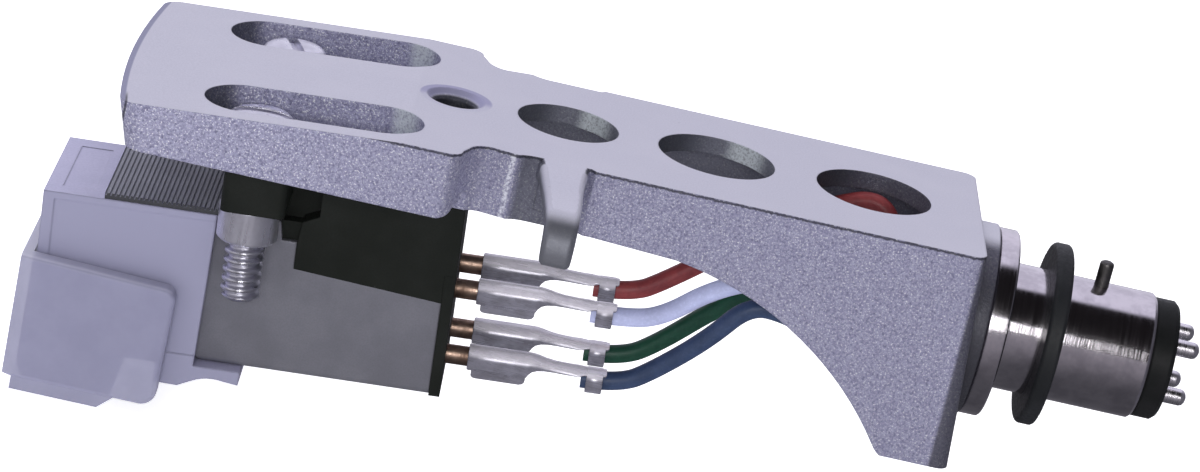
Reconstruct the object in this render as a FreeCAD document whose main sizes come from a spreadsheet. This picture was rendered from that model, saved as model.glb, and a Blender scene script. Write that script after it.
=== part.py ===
import FreeCAD, Part
import math
import os
import Sketcher
from FreeCAD import Vector, Rotation, Placement

# A half-inch phono cartridge bolted under a cast headshell with a bayonet plug.
# Millimetres. +X runs along the plug's axis, out of the plug; +Z is up; the
# origin is on the plug's axis at the outer face of the rubber washer.
# Two working frames are used. The headshell frame has its zero at the middle
# of the third round hole in the top face. The cartridge frame is the same
# frame pitched nose-down with the sloping front plate that carries it.

doc = FreeCAD.newDocument("phono_cartridge")

# ---------------------------------------------------------------- dimensions
sheet = doc.addObject("Spreadsheet::Sheet", "sizes")
VALUES = {}


def size(alias, value):
    row = len(VALUES) + 1
    sheet.set("A%d" % row, alias)
    sheet.set("B%d" % row, "%.6g" % value)
    sheet.setAlias("B%d" % row, alias)
    VALUES[alias] = float(value)


class S:
    """A sheet cell, with a sign and an added length, as value and expression."""

    def __init__(self, alias, sign=1, add=0.0):
        self.v = sign * VALUES[alias] + add
        self.e = ("-" if sign < 0 else "") + "sizes." + alias
        if add:
            self.e += " %s %.6g" % ("+" if add > 0 else "-", abs(add))


def val(x):
    return x.v if isinstance(x, S) else float(x)


# where the frames stand
size("washer_face_x", 23.1)
size("axis_drop", 6.66)
size("plate_pitch", 4.4)
# cast headshell
size("plate_half_width", 10.85)
size("spine_half_width", 8.1)
size("front_nose_x", 36.68)
size("hinge_x", 18.96)
size("skirt_drop", 4.17)
size("fin_drop", 13.92)
size("front_recess_width", 18.9)
size("channel_half_width", 6.6)
size("spine_thickness", 1.15)
size("slot_half_width", 2.6)
size("slot_centre", 6.85)
size("slot_depth", 2.0)
size("screw_spacing_half", 6.35)
size("screw_slot_half_width", 1.4)
size("hole_two_radius", 3.21)
size("hole_three_radius", 3.715)
size("hole_four_radius", 3.66)
size("small_hole_radius", 1.3)
size("boss_radius", 6.1)
size("spigot_radius", 4.6)
# bayonet plug
size("barrel_radius", 4.0)
size("barrel_end_x", 28.95)
size("collar_radius", 5.95)
size("collar_start_x", 18.25)
size("collar_end_x", 19.6)
size("barrel_bore", 3.3)
size("washer_radius", 5.8)
size("washer_start_x", 22.0)
size("cap_radius", 3.8)
size("cap_end_x", 30.45)
size("contact_radius", 0.53)
size("contact_tip_x", 32.06)
size("contact_half_pitch", 1.6)
size("locating_pin_radius", 0.45)
size("locating_pin_top", 5.6)
# cartridge, in its own pitched frame
size("mount_level", 1.4)
size("screw_x", 27.85)
size("far_screw_x", 27.2)
size("screw_radius", 1.22)
size("screw_hole_radius", 1.35)
size("screw_head_radius", 2.0)
size("screw_head_height", 1.3)
size("far_head_extra", 0.5)
size("screw_end", 11.47)
size("nut_radius", 1.875)
size("nut_top", 5.4)
size("nut_height", 2.15)
size("ear_half_width", 8.3)
size("body_half_width", 4.5)
size("shield_half_width", 4.35)
size("shield_bottom", 16.8)
size("shield_sheet", 0.4)
size("terminal_pin_radius", 0.62)
size("terminal_pin_y", 2.35)
size("upper_pin_z", 10.25)
size("lower_pin_z", 14.66)
size("holder_half_width", 5.27)
size("holder_top", 6.8)
size("holder_wall", 0.85)
size("guard_half_width", 6.4)
size("guard_wall", 0.95)
size("tube_outer", 1.0)
size("tube_inner", 0.75)
size("cantilever_outer", 0.28)
size("cantilever_inner", 0.19)
size("stylus_angle", 20)
size("lead_radius", 0.60)
size("clip_sheet", 0.22)
doc.recompute()

WX, DROP, PITCH = VALUES["washer_face_x"], VALUES["axis_drop"], VALUES["plate_pitch"]
HEAD = Placement(Vector(-WX, 0, DROP), Rotation())
CART = Placement(Vector(-WX, 0, DROP), Rotation(Vector(0, 1, 0), -PITCH))
AXIS = Placement(Vector(-WX, 0, 0), Rotation())
CA, SA = math.cos(math.radians(PITCH)), math.sin(math.radians(PITCH))

SUBPARTS = []


def keep(obj, label):
    obj.Label = label
    SUBPARTS.append(obj)
    return obj


def bind(obj, where, x):
    """Set a length on a feature, from a cell where one is given."""
    setattr(obj, where, val(x))
    if isinstance(x, S):
        obj.setExpression(where, x.e)


def place(obj, frame):
    """Stand a sub-part in one of the frames, with its base bound to the sheet."""
    obj.Placement = frame
    if abs(frame.Base.x + WX) < 1e-9:
        obj.setExpression("Placement.Base.x", "-sizes.washer_face_x")
    if abs(frame.Base.z - DROP) < 1e-9:
        obj.setExpression("Placement.Base.z", "sizes.axis_drop")


def new_body(label, frame):
    b = doc.addObject("PartDesign::Body", label)
    place(b, frame)
    return keep(b, label)


def tool_body(name, frame):
    b = doc.addObject("PartDesign::Body", name)
    place(b, frame)
    return b


def new_sketch(body, role, offset=None):
    sk = body.newObject("Sketcher::SketchObject", body.Name + "_sketch")
    for f in body.Origin.OriginFeatures:
        if f.Role == role:
            sk.AttachmentSupport = (f, [""])
    sk.MapMode = "FlatFace"
    if offset is not None:
        sk.AttachmentOffset = offset
    return sk


def arc3(p, m, q):
    """The arc from p through m to q, and whether it runs counter-clockwise."""
    ax, ay, bx, by, cx, cy = p[0], p[1], m[0], m[1], q[0], q[1]
    d = 2 * (ax * (by - cy) + bx * (cy - ay) + cx * (ay - by))
    ux = ((ax**2 + ay**2) * (by - cy) + (bx**2 + by**2) * (cy - ay) + (cx**2 + cy**2) * (ay - by)) / d
    uy = ((ax**2 + ay**2) * (cx - bx) + (bx**2 + by**2) * (ax - cx) + (cx**2 + cy**2) * (bx - ax)) / d
    r = math.hypot(ax - ux, ay - uy)
    a0, a1 = math.atan2(ay - uy, ax - ux), math.atan2(cy - uy, cx - ux)
    ccw = d > 0
    if not ccw:
        a0, a1 = a1, a0
    while a1 <= a0:
        a1 += 2 * math.pi
    circle = Part.Circle(Vector(ux, uy, 0), Vector(0, 0, 1), r)
    return Part.ArcOfCircle(circle, a0, a1), ccw


def closed(sk, pts):
    """A closed outline. A point is (x, y), or ("arc", (mx, my), (x, y)) for an
    arc that reaches (x, y) through (mx, my). A coordinate may be a cell."""
    ends = [p if p[0] != "arc" else p[2] for p in pts]
    n = len(pts)
    first = sk.GeometryCount
    tips = []
    for i in range(n):
        a, b = ends[i], ends[(i + 1) % n]
        pa, pb = (val(a[0]), val(a[1])), (val(b[0]), val(b[1]))
        nxt = pts[(i + 1) % n]
        if nxt[0] == "arc":
            g, ccw = arc3(pa, (val(nxt[1][0]), val(nxt[1][1])), pb)
            sk.addGeometry(g, False)
            tips.append((1, 2) if ccw else (2, 1))
        else:
            sk.addGeometry(Part.LineSegment(Vector(pa[0], pa[1], 0), Vector(pb[0], pb[1], 0)), False)
            tips.append((1, 2))
    for i in range(n):
        j = (i + 1) % n
        sk.addConstraint(Sketcher.Constraint("Coincident", first + i, tips[i][1], first + j, tips[j][0]))
    for i in range(n):
        for k, kind in ((0, "DistanceX"), (1, "DistanceY")):
            c = ends[i][k]
            if isinstance(c, S):
                n_c = sk.addConstraint(Sketcher.Constraint(kind, -1, 1, first + i, tips[i][0], c.v))
                sk.setExpression("Constraints[%d]" % n_c, c.e)


def circle(sk, x, y, r):
    g = sk.addGeometry(Part.Circle(Vector(val(x), val(y), 0), Vector(0, 0, 1), val(r)), False)
    if isinstance(r, S):
        n_c = sk.addConstraint(Sketcher.Constraint("Radius", g, r.v))
        sk.setExpression("Constraints[%d]" % n_c, r.e)
    for c, kind in ((x, "DistanceX"), (y, "DistanceY")):
        if isinstance(c, S):
            n_c = sk.addConstraint(Sketcher.Constraint(kind, -1, 1, g, 3, c.v))
            sk.setExpression("Constraints[%d]" % n_c, c.e)


def rect(sk, x0, x1, y0, y1):
    closed(sk, [(x0, y0), (x1, y0), (x1, y1), (x0, y1)])


def stadium(sk, x0, x1, y, r):
    """A slot outline from x0 to x1 along the sketch's x axis."""
    x0, x1, y, r = val(x0), val(x1), val(y), val(r)
    closed(sk, [("arc", (x0, y), (x0 + r, y - r)), (x1 - r, y - r), ("arc", (x1, y), (x1 - r, y + r)), (x0 + r, y + r)])


def feature(body, kind, sk, length=None, mid=False, rev=False, through=False):
    f = body.newObject("PartDesign::" + kind, body.Name + "_" + kind)
    f.Profile = sk
    if through:
        f.Type = "ThroughAll"
    else:
        bind(f, "Length", length)
    f.Midplane = mid
    f.Reversed = rev
    body.Tip = f
    doc.recompute()
    return f


def spin(body, sk, axis="H_Axis", cut=False):
    f = body.newObject("PartDesign::Groove" if cut else "PartDesign::Revolution", body.Name + "_turned")
    f.Profile = sk
    f.ReferenceAxis = (sk, [axis])
    f.Angle = 360
    body.Tip = f
    doc.recompute()
    return f


def edges_where(shape, test):
    """Names of the straight or round edges that a test on both ends picks."""
    out = []
    for i, e in enumerate(shape.Edges):
        if len(e.Vertexes) == 2 and test(e, e.Vertexes[0].Point, e.Vertexes[1].Point):
            out.append("Edge%d" % (i + 1))
    return out


def dress(body, kind, amount, test):
    base = body.Tip
    names = edges_where(base.Shape, test)
    if not names:
        raise RuntimeError("no edge found on " + body.Label)
    f = body.newObject("PartDesign::" + kind, body.Name + "_" + kind)
    f.Base = (base, names)
    if kind == "Fillet":
        f.Radius = amount
    else:
        f.Size = amount
    body.Tip = f
    doc.recompute()
    return f


def checked_cut(body, before):
    """A cut has to take something away."""
    after = body.Shape.Volume
    if after >= before - 1e-6:
        raise RuntimeError("a cut on %s removed nothing" % body.Label)
    return after


# ------------------------------------------------------------- cast headshell
PHW, SHW = S("plate_half_width"), S("spine_half_width")
shell = new_body("headshell", HEAD)
sk = new_sketch(shell, "XY_Plane")


def side(s):
    """The plan of one long side, from the nose to the rear, for s = -1 or 1."""
    p = VALUES["plate_half_width"]
    return [
        (-35.99, S("plate_half_width", s)),
        (-16.35, S("plate_half_width", s)),
        ("arc", (-15.66, s * 10.55), (-15.42, s * 9.85)),
        (-15.05, s * 8.95),
        ("arc", (-14.55, s * 8.2), (-13.75, s * 7.92)),
        (-12.1, s * 8.22),
        ("arc", (-11.55, s * 7.93), (-10.9, s * 7.82)),
        (-7.62, s * 7.82),
        (-7.35, S("spine_half_width", s)),
        (18.4, S("spine_half_width", s)),
    ]


near, far = side(-1), side(1)


def backwards(pts):
    """The same run of points and arcs taken from its end to its start."""
    out = []
    for i in range(len(pts) - 1, -1, -1):
        here = pts[i] if pts[i][0] != "arc" else pts[i][2]
        after = pts[i + 1] if i + 1 < len(pts) else None
        if after is not None and after[0] == "arc":
            out.append(("arc", after[1], here))
        else:
            out.append(here)
    return out


closed(sk, [("arc", (S("front_nose_x", -1), 0.0), near[0])] + near[1:] + backwards(far))
feature(shell, "Pad", sk, S("fin_drop"), rev=True)
vol = shell.Shape.Volume

# below the skirts and the curved underside of the rear fin
sk = new_sketch(shell, "XZ_Plane")
closed(sk, [(-40, S("skirt_drop", -1)), (-6.7, S("skirt_drop", -1)), (-1.4, -4.42),
            ("arc", (6.75, -7.4), (12.95, -13.3)), ("arc", (13.2, -13.62), (13.6, -13.95)), (13.6, -17), (-40, -17)])
feature(shell, "Pocket", sk, mid=True, through=True)
vol = checked_cut(shell, vol)

# the front plate slopes down to the nose from a line across the top face
nose_drop = (40 - VALUES["hinge_x"]) * math.tan(math.radians(PITCH))
sk = new_sketch(shell, "XZ_Plane")
closed(sk, [(S("hinge_x", -1), 0.0), (S("hinge_x", -1), 2.0), (-40, 2.0), (-40, -nose_drop)])
feature(shell, "Pocket", sk, mid=True, through=True)
vol = checked_cut(shell, vol)

# the front face keeps its curve in plan and leans in towards its lower edge
size("nose_draft", 16)
lean = Placement(Vector(-36.68, 0, -1.36), Rotation(Vector(0, 1, 0), -VALUES["nose_draft"]))
sk = new_sketch(shell, "XY_Plane", lean)
closed(sk, [(-6.0, -12.5), (0.9, -12.5), ("arc", (0.0, 0.0), (0.9, 12.5)), (-6.0, 12.5)])
feature(shell, "Pocket", sk, 16.0, mid=True)
vol = checked_cut(shell, vol)

# drafted rear face
sk = new_sketch(shell, "XZ_Plane")
closed(sk, [(16.864, 0.5), (17.94, -14.5), (21, -14.5), (21, 0.5)])
feature(shell, "Pocket", sk, mid=True, through=True)
vol = checked_cut(shell, vol)

# rounded upright corners at the rear and at the nose
dress(shell, "Fillet", 0.8, lambda e, a, b: a.x > 15 and b.x > 15 and abs(a.z - b.z) > 8 and abs(a.y) > 8)
dress(shell, "Fillet", 1.1, lambda e, a, b: a.x < -34.8 and b.x < -34.8 and abs(a.z - b.z) > 2 and abs(a.y) > 10)
# the plate's two rear lower corners are rounded in side view
vol = shell.Shape.Volume
for s in (-1, 1):
    sk = new_sketch(shell, "XZ_Plane", Placement(Vector(0, 0, -s * 8.3), Rotation()))
    closed(sk, [(-16.35, -4.17), ("arc", (-15.45, -3.8), (-15.1, -2.95)), (-12.5, -2.95), (-12.5, -5.5), (-16.35, -5.5)])
    feature(shell, "Pocket", sk, 4.0, rev=(s < 0))
    vol = checked_cut(shell, vol)


def under(x):
    """Height of the plate's sloping underside at x."""
    return (-VALUES["mount_level"] + x * SA) / CA


# the cartridge's seat between the two skirts
sk = new_sketch(shell, "XZ_Plane")
closed(sk, [(-38, under(-38)), (-16.9, under(-16.9)), (-16.9, -7), (-38, -7)])
feature(shell, "Pocket", sk, S("front_recess_width"), mid=True)
vol = checked_cut(shell, vol)
sk = new_sketch(shell, "XZ_Plane")
closed(sk, [(-17.2, under(-17.2)), (-13.8, under(-13.8)), (-13.8, -7), (-17.2, -7)])
feature(shell, "Pocket", sk, 2 * VALUES["channel_half_width"], mid=True)
vol = checked_cut(shell, vol)

# the wiring channel: a thin top, two side walls and a rear wall
sk = new_sketch(shell, "XY_Plane", Placement(Vector(0, 0, -VALUES["spine_thickness"]), Rotation()))
rect(sk, -13.9, 15.4, S("channel_half_width", -1), S("channel_half_width"))
feature(shell, "Pocket", sk, 15.0)
vol = checked_cut(shell, vol)

# long recesses for the screw heads, and the narrow screw slots in their floors
tilt = Placement(Vector(-VALUES["hinge_x"], 0, 0), Rotation(Vector(0, 1, 0), -PITCH))
sk = new_sketch(shell, "XY_Plane", tilt)
for s in (-1, 1):
    stadium(sk, -12.47, 0.93, s * VALUES["slot_centre"], S("slot_half_width"))
feature(shell, "Pocket", sk, S("slot_depth"))
vol = checked_cut(shell, vol)
sk = new_sketch(shell, "XY_Plane", tilt)
for s in (-1, 1):
    stadium(sk, -11.6, -0.3, s * VALUES["screw_spacing_half"], S("screw_slot_half_width"))
feature(shell, "Pocket", sk, 6.0)
vol = checked_cut(shell, vol)

# four round holes down the middle
sk = new_sketch(shell, "XY_Plane")
circle(sk, -9.43, 0.0, S("hole_two_radius"))
circle(sk, 0.0, 0.0, S("hole_three_radius"))
circle(sk, 10.03, 0.0, S("hole_four_radius"))
circle(sk, -16.55, 0.0, S("small_hole_radius"))
feature(shell, "Pocket", sk, 3.4)
vol = checked_cut(shell, vol)
sk = new_sketch(shell, "XZ_Plane", Placement(Vector(-16.55, 0, 0), Rotation()))
closed(sk, [(0.0, 0.3), (2.15, 0.3), (1.3, -0.55), (0.0, -0.55)])
spin(shell, sk, "V_Axis", cut=True)
vol = checked_cut(shell, vol)

# boss for the plug, and the hole that holds it
sk = new_sketch(shell, "YZ_Plane", Placement(Vector(0, 0, 15.4), Rotation()))
circle(sk, 0.0, S("axis_drop", -1), S("boss_radius"))
feature(shell, "Pad", sk, VALUES["collar_start_x"] - 15.4)
vol = shell.Shape.Volume
sk = new_sketch(shell, "YZ_Plane", Placement(Vector(0, 0, 14.0), Rotation()))
circle(sk, 0.0, S("axis_drop", -1), S("spigot_radius"))
feature(shell, "Pocket", sk, 6.0, rev=True)
vol = checked_cut(shell, vol)

# finger lift: a tapering blade out from the near side that turns down at its
# end, with a curved gusset under its root
sk = new_sketch(shell, "YZ_Plane", Placement(Vector(0, 0, -10.55), Rotation()))
closed(sk, [(-7.4, -0.9), (-10.3, -0.9), ("arc", (-8.55, -1.6), (-7.95, -3.3)), (-7.4, -3.3)])
feature(shell, "Pad", sk, 2.6)
sections = []
for y, z, lean, x, w, t in ((-7.3, -0.78, 0, -9.25, 3.3, 1.5), (-9.5, -0.70, 0, -9.22, 2.75, 1.36), (-12.5, -0.70, 1, -9.08, 2.35, 1.3),
                            (-15.2, -0.74, 8, -8.95, 2.1, 1.28), (-16.5, -1.2, 42, -8.9, 2.0, 1.25),
                            (-17.05, -2.1, 78, -8.88, 1.95, 1.15), (-17.2, -3.2, 88, -8.86, 1.8, 1.0)):
    sk = new_sketch(shell, "XZ_Plane", Placement(Vector(x, z, -y), Rotation(Vector(1, 0, 0), lean)))
    a, b, r = w / 2, t / 2, 0.36
    c = r * (1 - math.sqrt(0.5))
    closed(sk, [("arc", (-a + c, -b + c), (-a + r, -b)), (a - r, -b), ("arc", (a - c, -b + c), (a, -b + r)), (a, b - r),
                ("arc", (a - c, b - c), (a - r, b)), (-a + r, b), ("arc", (-a + c, b - c), (-a, b - r)), (-a, -b + r)])
    sections.append(sk)
blade = shell.newObject("PartDesign::AdditiveLoft", "headshell_finger_lift")
blade.Profile = sections[0]
blade.Sections = sections[1:]
shell.Tip = blade
doc.recompute()
dress(shell, "Fillet", 0.3, lambda e, a, b: a.y < -16.5 and b.y < -16.5 and a.z < -3.0 and b.z < -3.0)

# ------------------------------------------------------------- bayonet plug
plug = new_body("plug_barrel", AXIS)
sk = new_sketch(plug, "XZ_Plane")
closed(sk, [(15.4, S("barrel_bore")), (15.4, S("spigot_radius")), (S("collar_start_x"), S("spigot_radius")),
            (S("collar_start_x"), 5.8), (18.4, S("collar_radius")), (19.5, S("collar_radius")), (S("collar_end_x"), 5.85),
            (S("collar_end_x"), 4.15), (19.75, S("barrel_radius")), (28.75, S("barrel_radius")),
            (S("barrel_end_x"), 3.82), (S("barrel_end_x"), S("barrel_bore"))])
spin(plug, sk)
sk = new_sketch(plug, "XY_Plane")
circle(sk, 25.3, 0.0, S("locating_pin_radius"))
v0 = plug.Shape.Volume
feature(plug, "Pocket", sk, 6.0, rev=True)
checked_cut(plug, v0)

pin = new_body("locating_pin", Placement(Vector(25.3 - WX, 0, 0), Rotation()))
sk = new_sketch(pin, "XZ_Plane")
closed(sk, [(0.0, 3.35), (S("locating_pin_radius"), 3.35), (S("locating_pin_radius"), 5.35), (0.42, 5.48), (0.28, 5.57),
            (0.12, S("locating_pin_top")), (0.0, S("locating_pin_top"))])
spin(pin, sk, "V_Axis")

washer = new_body("rubber_washer", AXIS)
sk = new_sketch(washer, "XZ_Plane")
closed(sk, [(S("washer_start_x"), S("barrel_radius")), (S("washer_start_x"), 5.5),
            ("arc", (22.1, 5.73), (22.35, S("washer_radius"))), (22.8, S("washer_radius")),
            ("arc", (23.03, 5.73), (S("washer_face_x"), 5.5)), (S("washer_face_x"), S("barrel_radius"))])
spin(washer, sk)

insulator = new_body("contact_block", AXIS)
sk = new_sketch(insulator, "XZ_Plane")
closed(sk, [(16.6, 0.0), (16.6, S("barrel_bore")), (S("barrel_end_x"), S("barrel_bore")), (S("barrel_end_x"), 3.7),
            (29.1, S("cap_radius")), (30.2, S("cap_radius")), (S("cap_end_x"), 3.58), (S("cap_end_x"), 0.0)])
spin(insulator, sk)
sk = new_sketch(insulator, "YZ_Plane", Placement(Vector(0, 0, 16.0), Rotation()))
for sy in (-1, 1):
    for sz in (-1, 1):
        circle(sk, S("contact_half_pitch", sy), S("contact_half_pitch", sz), S("contact_radius"))
v0 = insulator.Shape.Volume
feature(insulator, "Pocket", sk, 16.0, rev=True)
checked_cut(insulator, v0)

CONTACTS = {"red": (1, 1), "white": (-1, 1), "green": (1, -1), "blue": (-1, -1)}
for colour, (sy, sz) in CONTACTS.items():
    h = VALUES["contact_half_pitch"]
    c = new_body("contact_pin_" + colour, Placement(Vector(-WX, sy * h, sz * h), Rotation()))
    sk = new_sketch(c, "XZ_Plane")
    closed(sk, [(13.45, 0.0), (13.55, 0.38), ("arc", (13.95, 0.56), (14.5, 0.42)), (14.9, 0.36), (16.4, 0.36),
                (16.6, S("contact_radius")), (31.7, S("contact_radius")),
                (31.88, 0.46), (32.0, 0.30), (S("contact_tip_x"), 0.12), (S("contact_tip_x"), 0.0)])
    spin(c, sk)

# ---------------------------------------------------- cartridge body and rear
SX, SX_FAR, SY = VALUES["screw_x"], VALUES["far_screw_x"], VALUES["screw_spacing_half"]
ML = VALUES["mount_level"]
body = new_body("cartridge_body", CART)
# the rear block, with its lower edge level with the headshell, not the body
sk = new_sketch(body, "XZ_Plane")
closed(sk, [(-23.66, S("mount_level", -1)), (-23.66, -6.2), (-24.66, -6.7), (-24.86, -8.1), (-24.86, -9.8),
            (-15.55, -10.64), (-15.55, -8.8), (-14.85, -8.8), (-14.85, S("mount_level", -1))])
feature(body, "Pad", sk, 2 * VALUES["body_half_width"], mid=True)
# the two mounting ears and the web between them and the rear block
sk = new_sketch(body, "XZ_Plane")
rect(sk, -29.55, -25.6, S("nut_top", -1), S("mount_level", -1))
feature(body, "Pad", sk, 2 * VALUES["ear_half_width"], mid=True)
sk = new_sketch(body, "XZ_Plane")
rect(sk, -29.55, -23.5, -7.3, S("mount_level", -1))
feature(body, "Pad", sk, 6.0, mid=True)
# the lower moulding that fills the shield and carries the coils
sk = new_sketch(body, "XZ_Plane")
closed(sk, [(-31.0, -16.4), (-15.55, -16.4), (-15.55, -6.9), (-29.3, -6.9), (-31.0, -7.54)])
feature(body, "Pad", sk, 2 * (VALUES["shield_half_width"] - VALUES["shield_sheet"]), mid=True)
v0 = body.Shape.Volume
# screw holes through the ears
sk = new_sketch(body, "XY_Plane")
circle(sk, S("screw_x", -1), S("screw_spacing_half", -1), S("screw_hole_radius"))
circle(sk, S("far_screw_x", -1), S("screw_spacing_half"), S("screw_hole_radius"))
feature(body, "Pocket", sk, 8.0)
v0 = checked_cut(body, v0)
# coil cavity, open at the rear
sk = new_sketch(body, "YZ_Plane", Placement(Vector(0, 0, -15.0), Rotation()))
rect(sk, -3.4, 3.4, -15.9, -8.2)
feature(body, "Pocket", sk, 14.6)
v0 = checked_cut(body, v0)
dress(body, "Fillet", 0.5, lambda e, a, b: abs(a.z - b.z) > 3.5 and abs(a.x - b.x) < .05 and abs(a.y) > 8.2 and abs(b.y) > 8.2)

# the grey screening can: a folded channel with its sides cut to the moulding
hw, t = VALUES["shield_half_width"], VALUES["shield_sheet"]
shield = new_body("shield_can", CART)
sk = new_sketch(shield, "XZ_Plane")
closed(sk, [(-31.0, S("shield_bottom", -1, 0.72)), (-30.66, S("shield_bottom", -1, 0.30)), (-29.85, S("shield_bottom", -1)),
            (-15.55, S("shield_bottom", -1)), (-15.55, -10.64), (-24.86, -9.8),
            (-24.86, -8.1), (-25.8, -8.1), (-26.0, -6.9), (-29.3, -6.9), (-31.0, -7.54)])
feature(shield, "Pad", sk, 2 * hw, mid=True)
v0 = shield.Shape.Volume
sk = new_sketch(shield, "XZ_Plane")
rect(sk, -33.0, -14.0, S("shield_bottom", -1, VALUES["shield_sheet"]), -5.0)
feature(shield, "Pocket", sk, 2 * (hw - t), mid=True)
checked_cut(shield, v0)
dress(shield, "Fillet", 0.35, lambda e, a, b: abs(a.z + VALUES["shield_bottom"]) < .01 and abs(b.z + VALUES["shield_bottom"]) < .01
      and abs(a.x - b.x) > 10 and abs(abs(a.y) - hw) < .01)

# rear terminal plate with its four pins
plate = new_body("terminal_plate", CART)
sk = new_sketch(plate, "YZ_Plane", Placement(Vector(0, 0, -15.55), Rotation()))
rect(sk, S("body_half_width", -1), S("body_half_width"), S("shield_bottom", -1), -8.8)
feature(plate, "Pad", sk, 0.7)
v0 = plate.Shape.Volume
sk = new_sketch(plate, "YZ_Plane", Placement(Vector(0, 0, -16.0), Rotation()))
for s in (-1, 1):
    for z in ("upper_pin_z", "lower_pin_z"):
        circle(sk, S("terminal_pin_y", s), S(z, -1), S("terminal_pin_radius"))
feature(plate, "Pocket", sk, 3.0, rev=True)
checked_cut(plate, v0)

# colour: (side, height alias) seen from the near side of the cartridge
WIRES = {"red": (1, "upper_pin_z"), "white": (-1, "upper_pin_z"), "green": (1, "lower_pin_z"), "blue": (-1, "lower_pin_z")}
for colour, (s, z) in WIRES.items():
    base = CART.multVec(Vector(0, s * VALUES["terminal_pin_y"], -VALUES[z]))
    p = new_body("terminal_pin_" + colour, Placement(base, CART.Rotation))
    sk = new_sketch(p, "XZ_Plane")
    closed(sk, [(-16.3, 0.0), (-16.3, 0.3), (-15.7, 0.3), (-15.7, S("terminal_pin_radius")), (-9.7, S("terminal_pin_radius")),
                (-9.45, 0.35), (-9.45, 0.0)])
    spin(p, sk)

# ribbed nose plate that covers the stylus holder's top
ribs = new_body("ribbed_nose_plate", CART)
sk = new_sketch(ribs, "XZ_Plane")
x0, x1, z0, z1, n = -36.85, -29.55, -6.80, -6.40, 25
pitch = (x1 - x0) / n
outline = [(x0, z0), (x1, z0)]
for i in range(n):
    xr = x1 - i * pitch
    outline += [(xr, z1 - 0.02), (xr - 0.55 * pitch, z1), (xr - 0.62 * pitch, z1 - 0.17), (xr - 0.95 * pitch, z1 - 0.17)]
outline += [(x0, z1)]
closed(sk, outline)
feature(ribs, "Pad", sk, 10.4, mid=True)

# ------------------------------------------------------------ screws and nuts
screws = []
for s in (-1, 1):
    b = tool_body("screw_blank_%d" % (s + 1), CART.multiply(Placement(Vector(-(SX if s < 0 else SX_FAR), s * SY, 0), Rotation())))
    sk = new_sketch(b, "XZ_Plane")
    seat = VALUES["hinge_x"] * SA - VALUES["slot_depth"]
    crown = seat + VALUES["screw_head_height"] + (VALUES["far_head_extra"] if s > 0 else 0.0)
    closed(sk, [(0.0, crown), (0.9, crown - 0.04),
                (1.6, crown - 0.17), (1.86, crown - 0.32), (S("screw_head_radius"), crown - 0.52), (S("screw_head_radius"), seat),
                (S("screw_radius"), seat), (S("screw_radius"), S("screw_end", -1, 0.25)),
                (0.95, S("screw_end", -1)), (0.0, S("screw_end", -1))])
    spin(b, sk, "V_Axis")
    sk = new_sketch(b, "XY_Plane", Placement(Vector(0, 0, crown), Rotation(Vector(0, 0, 1), 17 if s > 0 else 88)))
    rect(sk, -0.35, 0.35, -3, 3)
    v0 = b.Shape.Volume
    feature(b, "Pocket", sk, 0.65)
    checked_cut(b, v0)
    screws.append(b)
group = keep(doc.addObject("Part::Compound", "mounting_screws"), "mounting_screws")
group.Links = screws

nuts = []
for s in (-1, 1):
    b = tool_body("nut_blank_%d" % (s + 1), CART.multiply(Placement(Vector(-(SX if s < 0 else SX_FAR), s * SY, 0), Rotation())))
    sk = new_sketch(b, "XZ_Plane")
    top, low = -VALUES["nut_top"], -VALUES["nut_top"] - VALUES["nut_height"]
    closed(sk, [(S("screw_radius"), top), (S("nut_radius"), top), (S("nut_radius"), low + 0.15),
                (VALUES["nut_radius"] - 0.15, low), (S("screw_radius"), low)])
    spin(b, sk, "V_Axis")
    nuts.append(b)
group = keep(doc.addObject("Part::Compound", "mounting_nuts"), "mounting_nuts")
group.Links = nuts

# ------------------------------------------------ coils and pole pieces inside
for name, s in (("left", 1), ("right", -1)):
    core = new_body("pole_piece_" + name, CART)
    sk = new_sketch(core, "XZ_Plane", Placement(Vector(0, 0, -s * 1.75), Rotation()))
    closed(sk, [(-28.4, -11.1), (-17.6, -11.1), (-17.6, -14.9), (-26.4, -14.9), (-28.4, -15.6), (-28.4, -14.6), (-26.4, -13.9),
                (-18.6, -13.9), (-18.6, -12.1), (-26.8, -12.1), (-28.4, -12.6)])
    feature(core, "Pad", sk, 0.9, mid=True)
    coil_solids = []
    for k, (lo, hi) in enumerate(((-12.1, -11.1), (-14.9, -13.9))):
        b = tool_body("coil_blank_%s_%d" % (name, k), CART)
        sk = new_sketch(b, "YZ_Plane", Placement(Vector(0, 0, -25.2), Rotation()))
        zc = 0.5 * (lo + hi)
        yc = s * 1.75
        closed(sk, [(yc - 1.15, zc - 0.9), ("arc", (yc - 1.08, zc - 1.08), (yc - 0.9, zc - 1.15)),
                    (yc + 0.9, zc - 1.15), ("arc", (yc + 1.08, zc - 1.08), (yc + 1.15, zc - 0.9)),
                    (yc + 1.15, zc + 0.9), ("arc", (yc + 1.08, zc + 1.08), (yc + 0.9, zc + 1.15)),
                    (yc - 0.9, zc + 1.15), ("arc", (yc - 1.08, zc + 1.08), (yc - 1.15, zc + 0.9))])
        rect(sk, yc - 0.45, yc + 0.45, lo, hi)
        feature(b, "Pad", sk, 5.4)
        coil_solids.append(b)
    group = keep(doc.addObject("Part::Compound", "coils_" + name), "coils_" + name)
    group.Links = coil_solids

# --------------------------------------------------------- stylus assembly
# the tube, damper, magnet and cantilever share one line, which falls towards
# the nose; the holder slides off along it. Outlines give the distance behind
# the pivot along that line, and the radius
ANG = VALUES["stylus_angle"]
PIVOT = Vector(-32.2, 0, -15.62)
LINE = CART.multiply(Placement(PIVOT, Rotation(Vector(0, 1, 0), -ANG)))


def turned(label, outline):
    b = new_body(label, LINE)
    sk = new_sketch(b, "XZ_Plane")
    closed(sk, outline)
    spin(b, sk)
    return b


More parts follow.
